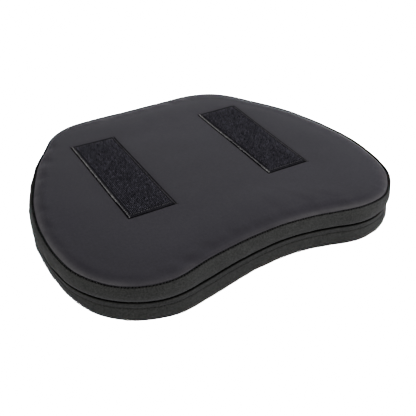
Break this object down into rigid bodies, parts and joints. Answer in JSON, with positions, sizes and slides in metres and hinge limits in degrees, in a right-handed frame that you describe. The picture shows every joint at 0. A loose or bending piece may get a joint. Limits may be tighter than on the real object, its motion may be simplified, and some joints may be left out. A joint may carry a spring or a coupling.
{
  "type": "kick shield pad",
  "caption": "Flat contoured foam kick shield pad in a zip-off coated-fabric cover, straight on one edge and notched on the other, with two hook-and-loop strips across its back.",
  "frame": {"origin": "centre of the flat strike face that the pad rests on", "axes": "+Z out of the back, the face with the two hook strips; +Y to the straight edge with the zip opening, -Y to the notched edge; +X across the pad, the long way"},
  "size_m": [0.378, 0.2999, 0.0486],
  "materials": {
    "back_cover": "satin",
    "strike_cover": "satin",
    "side_cover": "satin",
    "thread": "matte",
    "foam_firm": "matte",
    "foam_core": "matte",
    "foam_soft": "matte",
    "hook_tape": "matte",
    "hooks": "matte",
    "zip_tape": "matte",
    "zip_coil": "satin",
    "stop_metal": "satin",
    "zip_slider": "satin",
    "zip_pull": "satin"
  },
  "bodies": {
    "cushion": {"top_panel": "back_cover", "bottom_panel": "strike_cover", "upper_boxing": "side_cover", "lower_boxing": "side_cover", "top_seam_thread": "thread", "bottom_seam_thread": "thread", "flap_topstitch": "thread", "window_topstitch": "thread", "rear_foam": "foam_firm", "core_foam": "foam_core", "strike_foam": "foam_soft", "left_hook_tape": "hook_tape", "left_hook_field": "hooks", "left_tape_stitching": "thread", "right_hook_tape": "hook_tape", "right_hook_field": "hooks", "right_tape_stitching": "thread", "upper_zip_tape": "zip_tape", "lower_zip_tape": "zip_tape", "upper_zip_coil": "zip_coil", "lower_zip_coil": "zip_coil", "zip_top_stops": "stop_metal", "zip_bottom_stop": "stop_metal"},
    "slider": {"zip_slider": "zip_slider"},
    "pull": {"zip_pull": "zip_pull"}
  },
  "joints": [
    {"name": "zip_slide", "type": "slide", "parent": "cushion", "child": "slider", "axis": [1, 0, 0], "range_m": [0, 0.115]},
    {"name": "pull_swing", "type": "hinge", "parent": "slider", "child": "pull", "pos_m": [-0.055, 0.14923, 0.023], "axis": [0, 0, 1], "range_deg": [0, 180]}
  ]
}
